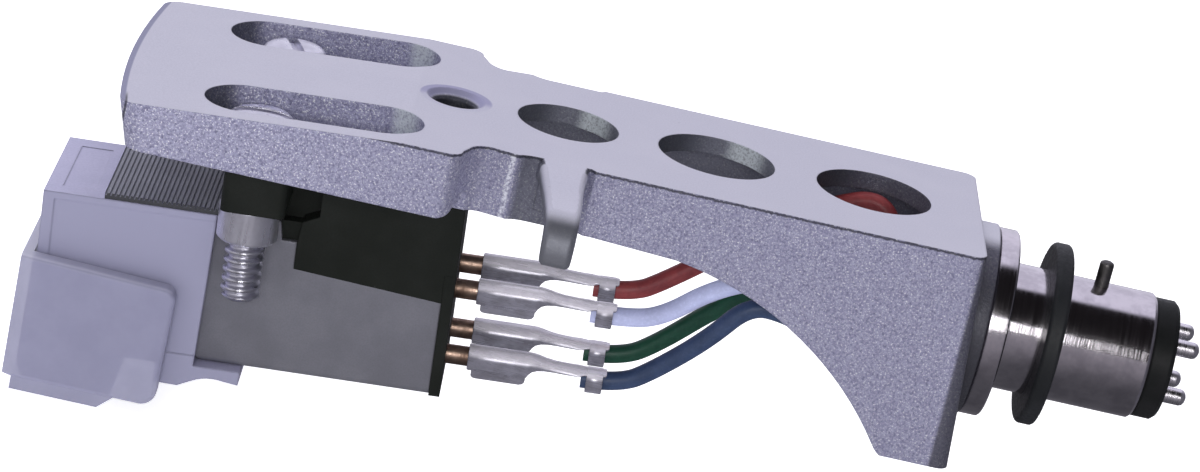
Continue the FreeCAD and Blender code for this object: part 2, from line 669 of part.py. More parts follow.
TO, TI = S("tube_outer"), S("tube_inner")
turned("stylus_tube", [(-0.9, TI), (-0.9, TO), (5.9, TO), (6.1, 0.8), (6.1, 0.12), (5.3, 0.12), (5.3, TI)])
turned("damper", [(-0.45, 0.38), (-0.45, TI), (0.45, TI), (0.45, 0.38)])
turned("pivot_sleeve", [(-0.4, 0.3), (-0.4, 0.35), (0.4, 0.35), (0.4, 0.3)])
turned("cantilever", [(-7.35, S("cantilever_inner")), (-7.35, S("cantilever_outer")), (0.8, S("cantilever_outer")),
                      (0.8, S("cantilever_inner"))])
turned("magnet", [(0.84, 0.0), (0.84, 0.42), (0.95, 0.5), (4.2, 0.5), (4.3, 0.42), (4.3, 0.0)])
turned("suspension_wire", [(4.4, 0.0), (4.4, 0.06), (5.3, 0.06), (5.3, 0.12), (6.1, 0.12), (6.1, 0.0)])

tip = new_body("stylus_tip", LINE.multiply(Placement(Vector(-7.0, 0, 0), Rotation(Vector(0, 1, 0), ANG + PITCH))))
sk = new_sketch(tip, "XZ_Plane")
closed(sk, [(0.0, -0.33), (0.13, -0.33), (0.13, -0.62), (0.012, -0.86), (0.0, -0.86)])
spin(tip, sk, "V_Axis")

# white holder: an open box with a bulkhead that grips the tube
hh, ht, wall = VALUES["holder_half_width"], VALUES["holder_top"], VALUES["holder_wall"]
holder = new_body("stylus_holder", CART)
sk = new_sketch(holder, "XZ_Plane")
closed(sk, [(-40.6, S("holder_top", -1)), (-29.85, S("holder_top", -1)), (-30.25, -16.85), (-27.3, -16.85), (-27.35, -17.72),
            (-28.35, -17.60), ("arc", (-29.35, -17.56), (-30.25, -17.86)), (-31.1, -18.28), (-32.6, -18.25), (-32.6, -16.95),
            (-40.6, -16.95)])
feature(holder, "Pad", sk, 2 * hh, mid=True)
v0 = holder.Shape.Volume
# hollow front, open below
sk = new_sketch(holder, "XZ_Plane")
rect(sk, -40.6 + wall, -33.0, -19.0, S("holder_top", -1, -VALUES["holder_wall"]))
feature(holder, "Pocket", sk, 2 * (hh - wall), mid=True)
v0 = checked_cut(holder, v0)
# rear socket that wraps the front of the screening can
sk = new_sketch(holder, "XZ_Plane")
closed(sk, [(-31.1, -5.0), (-29.0, -5.0), (-29.0, -16.85), (-31.1, -16.85)])
feature(holder, "Pocket", sk, 2 * (VALUES["shield_half_width"] + 0.05), mid=True)
v0 = checked_cut(holder, v0)
# sunk panel on each side and on top, the moulding's shallow borders
for s in (-1, 1):
    sk = new_sketch(holder, "XZ_Plane", Placement(Vector(0, 0, -s * (hh - 0.06)), Rotation()))
    closed(sk, [(-39.9, -7.25), (-29.5, -7.25), (-29.9, -16.2), (-39.9, -16.2)])
    feature(holder, "Pocket", sk, 0.5, rev=(s < 0))
    v0 = checked_cut(holder, v0)
sk = new_sketch(holder, "XY_Plane", Placement(Vector(0, 0, -ht - 0.05), Rotation()))
rect(sk, -39.6, -37.6, -3.9, 3.9)
feature(holder, "Pocket", sk, 0.5, rev=True)
v0 = checked_cut(holder, v0)
# the inclined hole for the tube
cutter = tool_body("tube_hole_in_holder", LINE)
sk = new_sketch(cutter, "XZ_Plane")
rect(sk, -1.6, 2.6, 0.0, S("tube_outer"))
spin(cutter, sk)
cut = doc.addObject("Part::Cut", "stylus_holder_bored")
cut.Base, cut.Tool = holder, cutter
SUBPARTS.remove(holder)
holder.Label = "stylus_holder_blank"
keep(cut, "stylus_holder")

# the socket in the cartridge body for the same tube
cutter = tool_body("tube_hole_in_body", LINE)
sk = new_sketch(cutter, "XZ_Plane")
rect(sk, 0.0, 6.35, 0.0, S("tube_outer", 1, 0.05))
spin(cutter, sk)
cut = doc.addObject("Part::Cut", "cartridge_body_bored")
cut.Base, cut.Tool = body, cutter
SUBPARTS.remove(body)
body.Label = "cartridge_body_blank"
keep(cut, "cartridge_body")

# ------------------------------------------------------------- stylus guard
# two side walls, a front wall and a floor; it sits level with the headshell
gh, gw = VALUES["guard_half_width"], VALUES["guard_wall"]
guard = new_body("stylus_guard", HEAD)
sk = new_sketch(guard, "XZ_Plane")
closed(sk, [(-40.45, -13.9), (-31.45, -14.13), ("arc", (-30.89, -14.36), (-30.655, -14.93)), (-30.7, -20.9), ("arc", (-30.97, -21.68), (-31.8, -22.0)), (-33.2, -22.0),
            (-34.2, -22.95), (-39.75, -22.95), (-39.75, -22.0), (-40.3, -21.8)])
feature(guard, "Pad", sk, 2 * gh, mid=True)
v0 = guard.Shape.Volume
sk = new_sketch(guard, "XZ_Plane")
closed(sk, [(-39.85, -13.0), (-29.0, -13.0), (-29.0, -22.2), (-39.1, -22.2), (-39.65, -21.4)])
feature(guard, "Pocket", sk, 2 * (hh + 0.06), mid=True)
v0 = checked_cut(guard, v0)
# the rear of the floor is left open so that the guard clears the stylus tip
sk = new_sketch(guard, "XZ_Plane")
closed(sk, [(-34.0, -20.5), (-29.0, -20.5), (-29.0, -24.0), (-33.2, -24.0)])
feature(guard, "Pocket", sk, 2 * (hh + 0.06), mid=True)
v0 = checked_cut(guard, v0)
# the front block below the side walls is set in
sk = new_sketch(guard, "YZ_Plane", Placement(Vector(0, 0, -42), Rotation()))
for s in (-1, 1):
    rect(sk, s * (gh - 0.45), s * (gh + 1), -24.0, -22.0)
feature(guard, "Pocket", sk, 14.0, rev=True)
v0 = checked_cut(guard, v0)
dress(guard, "Fillet", 0.3, lambda e, a, b: abs(abs(a.y) - gh) < .01 and abs(abs(b.y) - gh) < .01 and a.x > -32 and b.x > -32
      and abs(a.y - b.y) < .01)

# ---------------------------------------------------------------- lead clips
# a rolled barrel with a slit and a standing wing, a waist strap and a crimp
CS, LR, PR = VALUES["clip_sheet"], VALUES["lead_radius"], VALUES["terminal_pin_radius"]
CRIMP0, CRIMP1 = -4.75, -3.25
for colour, (s, z) in WIRES.items():
    b0 = CART.multVec(Vector(-14.0, s * VALUES["terminal_pin_y"], -VALUES[z]))
    frame = Placement(b0, Rotation(Vector(0, 1, 0), -PITCH))
    clip = new_body("lead_clip_" + colour, frame)
    sk = new_sketch(clip, "YZ_Plane", Placement(Vector(0, 0, 0.55), Rotation()))
    circle(sk, 0.0, 0.0, PR + CS)
    circle(sk, 0.0, 0.0, PR)
    feature(clip, "Pad", sk, 4.2)
    v0 = clip.Shape.Volume
    sk = new_sketch(clip, "YZ_Plane", Placement(Vector(0, 0, 0.0), Rotation()))
    rect(sk, -0.13, 0.13, -1.5, -0.3)
    feature(clip, "Pocket", sk, 6.0, rev=True)
    v0 = checked_cut(clip, v0)
    # wing: the free edge of the sheet hangs below the slit
    sk = new_sketch(clip, "YZ_Plane", Placement(Vector(0, 0, 0.75), Rotation()))
    closed(sk, [(-0.13, -0.62), (-0.13, -1.28), (-0.35, -1.28), (-0.35, -0.70)])
    feature(clip, "Pad", sk, 3.5)
    # waist strap from the barrel's crown down to the crimp
    sk = new_sketch(clip, "XZ_Plane")
    closed(sk, [(4.58, 0.74), (4.85, 0.70), (6.1, 0.40), (9.3, 0.40), (9.3, 0.18), (6.0, 0.18), (4.8, 0.48), (4.58, 0.52)])
    feature(clip, "Pad", sk, 0.95, mid=True)
    # crimp: a short tube hung under the strap
    sk = new_sketch(clip, "YZ_Plane", Placement(Vector(0, 0, 8.0), Rotation()))
    circle(sk, 0.0, -0.34, LR + CS)
    feature(clip, "Pad", sk, 1.45)
    v0 = clip.Shape.Volume
    sk = new_sketch(clip, "YZ_Plane", Placement(Vector(0, 0, 7.0), Rotation()))
    circle(sk, 0.0, -0.34, S("lead_radius"))
    feature(clip, "Pocket", sk, 4.0, rev=True)
    v0 = checked_cut(clip, v0)

# --------------------------------------------------------------------- leads
def fillet_route(points, smallest):
    """Straight runs joined by tangent arcs. Returns the wire and the radii."""
    p = [Vector(*q) for q in points]
    edges, radii, last = [], [], p[0]
    for i in range(1, len(p) - 1):
        a, b = p[i - 1] - p[i], p[i + 1] - p[i]
        la, lb = a.Length, b.Length
        a.normalize()
        b.normalize()
        turn = math.pi - a.getAngle(b)
        r = 0.45 * min(la, lb) / math.tan(turn / 2)
        back = r * math.tan(turn / 2)
        t0, t1 = p[i] + a * back, p[i] + b * back
        half = a + b
        half.normalize()
        mid = p[i] + half * (r / math.cos(turn / 2) - r)
        edges.append(Part.LineSegment(last, t0).toShape())
        edges.append(Part.Arc(t0, mid, t1).toShape())
        radii.append(r)
        last = t1
    edges.append(Part.LineSegment(last, p[-1]).toShape())
    return Part.Wire(edges), radii


def crimp_axis(colour):
    s, z = WIRES[colour]
    b0 = CART.multVec(Vector(-14.0, s * VALUES["terminal_pin_y"], -VALUES[z]))
    frame = Placement(b0, Rotation(Vector(0, 1, 0), -PITCH))
    back = HEAD.inverse()
    return back.multVec(frame.multVec(Vector(8.2, 0, -0.34))), back.multVec(frame.multVec(Vector(10.2, 0, -0.34)))


ROUTES = {
    # in the headshell frame, between the crimp and the plug's solder tails
    "red": [(-1.1, 2.3, -9.3), (1.9, 2.4, -6.9), (5.2, 3.0, -4.4), (8.0, 3.3, -2.7), (10.9, 3.1, -1.6), (12.4, 2.3, -3.5)],
    "white": [(-1.0, -2.4, -9.8), (1.6, -2.5, -8.0), (4.6, -2.9, -5.9), (7.9, -2.9, -4.3), (10.8, -2.2, -4.2)],
    "green": [(-0.5, 2.3, -13.5), (2.2, 1.9, -11.0), (5.0, 1.0, -8.8), (8.4, 0.9, -7.6), (11.0, 1.3, -7.7)],
    "blue": [(-0.7, -2.5, -13.9), (2.0, -2.9, -10.8), (4.0, -3.2, -9.1), (6.4, -3.0, -8.7), (8.6, -2.4, -8.9), (10.9, -1.9, -8.7)],
}
for colour, mids in ROUTES.items():
    sy, sz = CONTACTS[colour]
    a, b = crimp_axis(colour)
    end = (12.9 if colour == "red" else 13.1, sy * VALUES["contact_half_pitch"], sz * VALUES["contact_half_pitch"] - DROP)
    pts = [(a.x, a.y, a.z), (b.x, b.y, b.z)] + mids + [end]
    wire, radii = fillet_route(pts, 1.5)
    start = Vector(*pts[0])
    direction = Vector(*pts[1]) - start
    ring = Part.Wire([Part.Circle(start, direction, VALUES["lead_radius"]).toShape()])
    tube = wire.makePipeShell([ring], True, True)
    f = doc.addObject("Part::Feature", "lead_" + colour)
    f.Shape = tube
    f.Placement = HEAD
    keep(f, "lead_" + colour)
    ideal = math.pi * VALUES["lead_radius"] ** 2 * wire.Length
    print("lead_%s length %.2f mm, radii %s, volume/ideal %.4f" % (
        colour, wire.Length, ", ".join("%.1f" % r for r in radii), tube.Volume / ideal))

# -------------------------------------------------------------- check, write
doc.recompute()
bad = []
for o in doc.Objects:
    if "Invalid" in o.State or "Error" in o.State:
        bad.append("%s %s" % (o.Label, o.State))
for o in SUBPARTS:
    sh = o.Shape
    if sh.isNull() or not sh.isValid() or len(sh.Solids) < 1:
        bad.append("%s has a bad shape" % o.Label)
if bad:
    raise RuntimeError("; ".join(bad))
os.makedirs("parts", exist_ok=True)
for o in SUBPARTS:
    o.Shape.exportStep("parts/%s.step" % o.Label)
print("wrote %d parts" % len(SUBPARTS))
for o in SUBPARTS:
    bb = o.Shape.BoundBox
    print("%-22s solids %d vol %8.2f  x %7.2f %7.2f  y %7.2f %7.2f  z %7.2f %7.2f" % (
        o.Label, len(o.Shape.Solids), o.Shape.Volume, bb.XMin, bb.XMax, bb.YMin, bb.YMax, bb.ZMin, bb.ZMax))
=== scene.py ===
import bpy
import bmesh
import math
from mathutils import Matrix, Vector


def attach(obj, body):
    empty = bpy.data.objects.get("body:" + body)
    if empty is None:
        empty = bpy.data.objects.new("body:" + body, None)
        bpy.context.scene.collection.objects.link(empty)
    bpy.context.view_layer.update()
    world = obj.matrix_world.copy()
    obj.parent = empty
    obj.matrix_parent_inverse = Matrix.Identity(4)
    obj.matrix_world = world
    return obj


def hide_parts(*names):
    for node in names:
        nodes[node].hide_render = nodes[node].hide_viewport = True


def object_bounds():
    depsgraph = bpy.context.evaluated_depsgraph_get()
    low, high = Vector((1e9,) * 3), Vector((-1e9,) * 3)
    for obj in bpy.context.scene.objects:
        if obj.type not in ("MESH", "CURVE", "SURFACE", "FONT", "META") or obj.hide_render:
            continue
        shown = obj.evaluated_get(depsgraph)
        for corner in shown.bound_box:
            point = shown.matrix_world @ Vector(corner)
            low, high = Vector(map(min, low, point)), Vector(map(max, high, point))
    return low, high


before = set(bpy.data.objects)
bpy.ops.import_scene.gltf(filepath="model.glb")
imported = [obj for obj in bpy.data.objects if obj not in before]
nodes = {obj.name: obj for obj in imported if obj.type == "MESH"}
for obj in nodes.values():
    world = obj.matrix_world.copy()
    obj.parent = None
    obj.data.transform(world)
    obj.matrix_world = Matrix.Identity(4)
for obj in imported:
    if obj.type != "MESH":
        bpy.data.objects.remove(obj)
cad_lo, cad_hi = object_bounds()
scene = bpy.context.scene

MM = 0.001
PITCH = math.radians(4.4)
HEAD = Matrix.Translation((-23.1, 0, 6.66))
CART = HEAD @ Matrix.Rotation(-PITCH, 4, "Y")
FLOOR_Z = cad_lo.z - 0.00002


# ------------------------------------------------------------------- camera
# the photograph's viewpoint: 19 degrees above the horizon, rolled by 13
rot = Vector((1.9016, 0.1837, 0.1862))
turn = Matrix.Rotation(rot.length, 3, rot.normalized())
cam_data = bpy.data.cameras.new("camera")
cam_data.lens = 127.71
cam_data.sensor_width = 36.0
cam_data.clip_start = 0.01
cam_data.clip_end = 20.0
cam = bpy.data.objects.new("camera", cam_data)
scene.collection.objects.link(cam)
axes = Matrix((turn[0], -turn[1], -turn[2])).transposed()
cam.matrix_world = Matrix.Translation(Vector((-39.38, -251.03, 87.44)) * MM) @ axes.to_4x4()
scene.camera = cam

scene.view_settings.view_transform = "Standard"
scene.view_settings.look = "None"
scene.view_settings.exposure = 0.0
scene.view_settings.gamma = 1.0


# ---------------------------------------------------------------- materials
class Nodes:
    """Short calls for building one material's node tree."""

    def __init__(self, name, **sockets):
        self.mat = bpy.data.materials.new(name)
        self.mat.use_nodes = True
        self.nt = self.mat.node_tree
        self.bsdf = self.nt.nodes["Principled BSDF"]
        for key, value in sockets.items():
            self.bsdf.inputs[key.replace("_", " ")].default_value = value
        self.tc = self.nt.nodes.new("ShaderNodeTexCoord")
        self.scaled = {}

    def link(self, a, b):
        self.nt.links.new(a, b)

    def coords(self, scale=(1000, 1000, 1000), rotation=(0, 0, 0)):
        key = (tuple(scale), tuple(rotation))
        if key not in self.scaled:
            m = self.nt.nodes.new("ShaderNodeMapping")
            m.inputs["Scale"].default_value = scale
            m.inputs["Rotation"].default_value = rotation
            self.link(self.tc.outputs["Object"], m.inputs["Vector"])
            self.scaled[key] = m.outputs["Vector"]
        return self.scaled[key]

    def noise(self, scale, detail=3.0, rough=0.55, vector=None, distortion=0.0):
        n = self.nt.nodes.new("ShaderNodeTexNoise")
        n.inputs["Scale"].default_value = scale
        n.inputs["Detail"].default_value = detail
        n.inputs["Roughness"].default_value = rough
        n.inputs["Distortion"].default_value = distortion
        self.link(vector or self.coords(), n.inputs["Vector"])
        return n.outputs["Fac"]

    def voronoi(self, scale, vector=None, out="Distance", feature="F1"):
        n = self.nt.nodes.new("ShaderNodeTexVoronoi")
        n.feature = feature
        n.inputs["Scale"].default_value = scale
        self.link(vector or self.coords(), n.inputs["Vector"])
        return n.outputs[out]

    def wave(self, scale, direction="X", distortion=0.0, detail=0.0, vector=None):
        n = self.nt.nodes.new("ShaderNodeTexWave")
        n.bands_direction = direction
        n.inputs["Scale"].default_value = scale
        n.inputs["Distortion"].default_value = distortion
        n.inputs["Detail"].default_value = detail
        self.link(vector or self.coords(), n.inputs["Vector"])
        return n.outputs["Fac"]

    def remap(self, value, a, b, c=0.0, d=1.0, smooth=True):
        n = self.nt.nodes.new("ShaderNodeMapRange")
        n.interpolation_type = "SMOOTHSTEP" if smooth else "LINEAR"
        for i, v in enumerate((a, b, c, d)):
            n.inputs[i + 1].default_value = v
        self.link(value, n.inputs[0])
        return n.outputs[0]

    def math(self, op, a, b=None, clamp=False):
        n = self.nt.nodes.new("ShaderNodeMath")
        n.operation = op
        n.use_clamp = clamp
        for i, v in enumerate((a, b)):
            if v is None:
                continue
            if isinstance(v, (int, float)):
                n.inputs[i].default_value = v
            else:
                self.link(v, n.inputs[i])
        return n.outputs[0]

    def mix(self, fac, a, b):
        n = self.nt.nodes.new("ShaderNodeMix")
        n.data_type = "RGBA"
        n.clamp_factor = True
        if isinstance(fac, (int, float)):
            n.inputs["Factor"].default_value = fac
        else:
            self.link(fac, n.inputs["Factor"])
        for s, v in ((6, a), (7, b)):
            if isinstance(v, tuple):
                n.inputs[s].default_value = (*v, 1.0)
            else:
                self.link(v, n.inputs[s])
        return n.outputs[2]

    def split(self, vector):
        n = self.nt.nodes.new("ShaderNodeSeparateXYZ")
        self.link(vector, n.inputs[0])
        return n.outputs[0], n.outputs[1], n.outputs[2]

    def bump(self, height, strength, distance, normal=None):
        n = self.nt.nodes.new("ShaderNodeBump")
        n.inputs["Strength"].default_value = strength
        n.inputs["Distance"].default_value = distance
        self.link(height, n.inputs["Height"])
        if normal is not None:
            self.link(normal, n.inputs["Normal"])
        return n.outputs["Normal"]

    def round_edges(self, radius):
        n = self.nt.nodes.new("ShaderNodeBevel")
        n.samples = 4
        n.inputs["Radius"].default_value = radius
        return n.outputs["Normal"]

    def set(self, socket, value):
        s = self.bsdf.inputs[socket]
        if isinstance(value, (int, float)):
            s.default_value = value
        elif isinstance(value, tuple):
            s.default_value = (*value, 1.0)
        else:
            self.link(value, s)


def cast_silver():
    """Die-cast alloy: a fine satin top, cast walls with a fine grain and painted glints, and painted light and shade in
    the hollows.
    """
    m = Nodes("cast_silver", Metallic=0.5, Specular_IOR_Level=0.55)
    x, y, z = m.split(m.coords())
    nx, ny, nz = m.split(m.tc.outputs["Normal"])
    up = m.remap(nz, 0.90, 0.985)
    lift = m.math("MULTIPLY", m.remap(y, -8.5, -8.9), m.remap(x, -35.3, -34.8))
    top = m.math("MAXIMUM", up, m.math("MULTIPLY", lift, 0.85))
    # the countersink of the small hole is as smooth as the top
    dx = m.math("ADD", x, 39.65)
    reach = m.math("SQRT", m.math("ADD", m.math("MULTIPLY", dx, dx), m.math("MULTIPLY", y, y)))
    sink = m.math("MULTIPLY", m.remap(reach, 2.35, 2.2), m.remap(z, 6.22, 6.42))
    # painted shade: a narrow smooth band along the nose's upper edge is darkened to stand in for a broken edge; it is
    # dark at its near corner
    curve = m.math("SUBTRACT", m.math("ADD", x, 59.78), m.math("DIVIDE", m.math("MULTIPLY", y, y), 174.6))
    nose = m.remap(curve, 0.40, 0.30)
    seam = m.math("MULTIPLY", m.math("MULTIPLY", m.remap(curve, 0.30, 0.38), m.remap(curve, 0.52, 0.42)), m.remap(y, -8.6, -10.0))
    top = m.math("MAXIMUM", top, sink)
    lump = m.noise(2.4, 3, 0.6)
    grit = m.noise(6.2, 3, 0.68)
    grain = m.noise(10.5, 2, 0.6)
    # walls: mid grey with a fine grain, and scattered white painted glints standing in for bright facets catching the
    # light
    wall = m.mix(m.remap(lump, 0.30, 0.72), (0.295, 0.29, 0.45), (0.365, 0.36, 0.53))
    wall = m.mix(m.remap(grit, 0.40, 0.70, 0.0, 0.75), wall, (0.54, 0.53, 0.71))
    wall = m.mix(m.remap(grit, 0.46, 0.30, 0.0, 0.75), wall, (0.14, 0.135, 0.225))
    painted_glint = m.math("MULTIPLY", m.remap(grain, 0.56, 0.63), m.remap(grit, 0.42, 0.56))
    wall = m.mix(painted_glint, wall, (1.0, 1.0, 1.0))
    # the holes and slots hold less light than the outer walls
    side = m.math("ABSOLUTE", y)
    bore = m.math("MULTIPLY", m.remap(side, 7.2, 7.0), m.remap(x, -38.2, -38.0))
    slots = m.math("MULTIPLY", m.math("MULTIPLY", m.remap(side, 10.3, 10.1), m.remap(x, -40.5, -41.5)), m.remap(x, -59.6, -59.2))
    small = m.math("MULTIPLY", m.remap(reach, 2.3, 2.0), m.remap(z, 6.42, 6.24))
    depth = m.mix(m.remap(x, -19.0, -17.0), (0.120, 0.128, 0.140), (0.045, 0.042, 0.043))
    wall = m.mix(m.math("MULTIPLY", bore, 0.82), wall, depth)
    wall = m.mix(m.math("MULTIPLY", small, 0.90), wall, (0.020, 0.022, 0.018))
    wall = m.mix(m.math("MULTIPLY", slots, m.remap(z, 5.2, 2.9, 0.0, 0.45)), wall, (0.16, 0.175, 0.19))
    inside = m.math("MAXIMUM", bore, slots)
    # their right-hand ends catch the light, their left-hand ends don't
    bright = m.math("MULTIPLY", m.remap(nx, -0.10, -0.42), m.remap(nx, -0.93, -0.66))
    bright = m.math("MULTIPLY", bright, m.remap(grit, 0.34, 0.56, 0.45, 1.0))
    wall = m.mix(m.math("MULTIPLY", m.math("MULTIPLY", bright, m.math("MULTIPLY", inside, m.remap(x, -17.0, -19.0))), 0.9), wall, (0.88, 0.95, 1.0))
    wall = m.mix(m.math("MULTIPLY", m.math("MULTIPLY", m.remap(nx, 0.15, 0.65), inside), 0.70), wall, (0.045, 0.052, 0.055))
    # painted shade: the walls grow a little darker towards the plug, most of all at the neck
    neck = m.math("MULTIPLY", m.math("MULTIPLY", m.remap(x, -40.0, -38.6), m.remap(x, -30.4, -31.6)), m.remap(side, 7.2, 7.6))
    shade = m.math("MAXIMUM", m.math("MULTIPLY", neck, 0.30), m.remap(x, -56.0, -34.0, 0.0, 0.22))
    wall = m.mix(shade, wall, (0.13, 0.13, 0.19))
    # a crease near the finger lift: a painted highlight along its crest, then painted shade in the dip beside it
    hollow_shade = m.math("MULTIPLY", m.math("MULTIPLY", neck, m.remap(x, -35.3, -34.7)), m.remap(y, 0.0, -1.0))
    wall = m.mix(m.math("MULTIPLY", hollow_shade, 0.72), wall, (0.085, 0.09, 0.105))
    ridge_highlight = m.math("MULTIPLY", m.remap(m.math("ABSOLUTE", m.math("ADD", x, 35.50)), 0.22, 0.06), m.math("MULTIPLY", neck, m.remap(y, 0.0, -1.0)))
    wall = m.mix(m.math("MULTIPLY", ridge_highlight, m.remap(grit, 0.38, 0.60, 0.10, 0.90)), wall, (0.80, 0.81, 0.90))
    # the boss behind the rear face is in shade, except on top
    boss = m.math("MULTIPLY", m.remap(x, -6.6, -6.3), m.remap(nz, 0.80, 0.45))
    wall = m.mix(m.math("MULTIPLY", boss, 0.80), wall, (0.050, 0.050, 0.062))
    open_wall = m.math("SUBTRACT", 1.0, inside)
    # the thin dark line where the wall meets the machined top
    jitter = m.math("MULTIPLY", m.math("SUBTRACT", m.noise(5.0, 2), 0.5), 0.22)
    height = m.math("ADD", z, jitter)
    line = m.math("MULTIPLY", m.remap(height, 6.44, 6.52), m.remap(height, 6.66, 6.60))
    line = m.math("MULTIPLY", line, m.remap(open_wall, 0.0, 1.0, 0.0, 0.85))
    wall = m.mix(line, wall, (0.03, 0.03, 0.045))
    # top
    fine = m.noise(9.0, 3, 0.65)
    broad = m.noise(0.22, 3, 0.5)
    face = m.mix(m.remap(fine, 0.3, 0.7), (0.605, 0.60, 0.69), (0.66, 0.655, 0.75))
    face = m.mix(m.remap(broad, 0.35, 0.7, 0.0, 0.35), face, (0.69, 0.68, 0.765))
    pit = m.remap(m.voronoi(0.42), 0.030, 0.018)
    face = m.mix(m.math("MULTIPLY", pit, 0.35), face, (0.20, 0.20, 0.26))
    # painted shade on the lower, turned-down part of the finger lift
    face = m.mix(m.math("MULTIPLY", lift, m.remap(z, 6.48, 5.85, 0.0, 0.90)), face, (0.078, 0.083, 0.098))
    # painted shade inside the small hole's countersink, stronger on its far side
    face = m.mix(m.math("MULTIPLY", sink, m.remap(y, -0.8, 0.4, 0.15, 0.85)), face, (0.34, 0.33, 0.52))
    # painted shade along the nose's upper edge
    face = m.mix(m.math("MULTIPLY", nose, 0.9), face, (0.27, 0.27, 0.41))
    m.set("Base Color", m.mix(m.math("MULTIPLY", seam, 0.85), m.mix(top, wall, face), (0.04, 0.04, 0.06)))
    rough_wall = m.remap(grit, 0.35, 0.7, 0.52, 0.30)
    rough_top = m.remap(fine, 0.3, 0.7, 0.50, 0.42)
    r = m.nt.nodes.new("ShaderNodeMix")
    m.link(top, r.inputs[0])
    m.link(rough_wall, r.inputs[2])
    m.link(rough_top, r.inputs[3])
    m.set("Roughness", r.outputs[0])
    # relief
    relief = m.math("ADD", m.math("MULTIPLY", lump, 0.5), m.math("MULTIPLY", grit, 0.7))
    relief = m.math("ADD", relief, m.math("MULTIPLY", grain, 0.30))
    wall_h = m.math("MULTIPLY", relief, m.math("SUBTRACT", 1.0, top))
    top_h = m.math("MULTIPLY", m.math("MULTIPLY", fine, 0.05), top)
    n = m.bump(m.math("ADD", wall_h, top_h), 0.8, 0.00006, m.round_edges(0.00016))
    m.set("Normal", n)
    return m.mat


def plated(name, colour, dark, rough=0.16, along="X", metal=1.0):
    """Turned and plated metal with fine tool marks round its axis."""
    m = Nodes(name, Metallic=metal)
    scale = {"X": (9000, 220, 220), "Z": (220, 220, 9000)}[along]
    marks = m.noise(1.0, 3, 0.7, m.coords(scale))
    smear = m.noise(0.7, 3, 0.6)
    m.set("Base Color", m.mix(m.remap(smear, 0.35, 0.7), colour, dark))
    m.set("Roughness", m.remap(m.math("ADD", marks, m.math("MULTIPLY", smear, 0.4)), 0.45, 0.95, rough * 0.75, rough * 1.6))
    m.set("Normal", m.bump(marks, 0.22, 0.00001, m.round_edges(0.00012)))
    return m.mat


def moulded(name, colour, shade, rough=0.42, grain=7.0, relief=0.00001, edge=0.00012, specks=None, shaded_sides=None, ends=None, **extra):
    """Moulded plastic or rubber with a fine skin and slow tone changes, and optional painted shade on upright and end
    faces.
    """
    m = Nodes(name, **extra)
    fine = m.noise(grain, 3, 0.6)
    slow = m.noise(0.35, 3, 0.55)
    c = m.mix(m.remap(slow, 0.3, 0.7), colour, shade)
    c = m.mix(m.remap(fine, 0.35, 0.7, 0.0, 0.25), c, tuple(v * 0.8 for v in shade))
    if shaded_sides or ends:
        nx, ny, nz = m.split(m.tc.outputs["Normal"])
    # painted shade: faces turned away from the top are darker
    if shaded_sides:
        c = m.mix(m.remap(nz, 0.75, 0.35), c, shaded_sides)
    # painted shade: faces turned towards the ends, along Y, are darker
    if ends:
        c = m.mix(m.remap(m.math("ABSOLUTE", ny), 0.45, 0.80), c, ends)
    if specks:
        dust = m.remap(m.voronoi(specks[1]), specks[2], specks[2] * 0.55)
        keep = m.remap(m.noise(1.1, 2), 0.5, 0.62)
        c = m.mix(m.math("MULTIPLY", m.math("MULTIPLY", dust, keep), 0.8), c, specks[0])
    m.set("Base Color", c)
    m.set("Roughness", m.remap(fine, 0.3, 0.7, rough * 0.85, rough * 1.2))
    m.set("Normal", m.bump(fine, 0.35, relief, m.round_edges(edge)))
    return m.mat


def clear_moulding():
    """Frosted clear plastic with a faint lavender cast."""
    m = Nodes("clear_plastic", Transmission_Weight=0.10, Alpha=0.76, IOR=1.42, Subsurface_Weight=0.0)
    haze = m.noise(0.5, 3, 0.6)
    fine = m.noise(5.0, 3, 0.6)
    nx, ny, nz = m.split(m.tc.outputs["Normal"])
    c = m.mix(m.remap(haze, 0.3, 0.7), (0.312, 0.311, 0.452), (0.340, 0.338, 0.484))
    # painted light: upward-facing faces are lighter
    m.set("Base Color", m.mix(m.remap(nz, 0.5, 0.9), c, (0.58, 0.575, 0.73)))
    m.set("Roughness", m.remap(m.math("ADD", haze, m.math("MULTIPLY", fine, 0.5)), 0.5, 1.1, 0.32, 0.42))
    m.set("Normal", m.bump(haze, 0.10, 0.00001))
    return m.mat


def wound_wire():
    m = Nodes("enamel_wire", Metallic=0.85)
    turns = m.wave(1.6, "X")
    m.set("Base Color", m.mix(turns, (0.24, 0.09, 0.03), (0.66, 0.30, 0.11)))
    m.set("Roughness", m.remap(turns, 0.0, 1.0, 0.45, 0.28))
    m.set("Normal", m.bump(turns, 0.9, 0.00006))
    return m.mat


def sheet_metal():
    """Thin tinned clip metal, drawn lengthwise, with painted light on upward-facing crests and painted shade on faces
    turned away from the top.
    """
    m = Nodes("gold_contact_clip", Metallic=0.25)
    drawn = m.noise(1.0, 3, 0.65, m.coords((300, 3500, 3500)))
    stain = m.noise(1.3, 3, 0.6)
    nx, ny, nz = m.split(m.tc.outputs["Normal"])
    # painted light and shade: upward-facing crests are light, downward and upright faces dark
    crest = m.mix(m.remap(stain, 0.35, 0.7), (0.95, 0.91, 1.0), (0.84, 0.80, 0.90))
    shaded_flank = m.mix(m.remap(stain, 0.35, 0.7), (0.22, 0.215, 0.265), (0.16, 0.155, 0.19))
    c = m.mix(m.remap(nz, 0.22, 0.62), shaded_flank, crest)
    c = m.mix(m.remap(drawn, 0.52, 0.75, 0.0, 0.14), c, (0.30, 0.28, 0.34))
    m.set("Base Color", c)
    m.set("Roughness", m.remap(drawn, 0.3, 0.7, 0.20, 0.34))
    m.set("Normal", m.bump(drawn, 0.12, 0.00001, m.round_edges(0.00008)))
    return m.mat


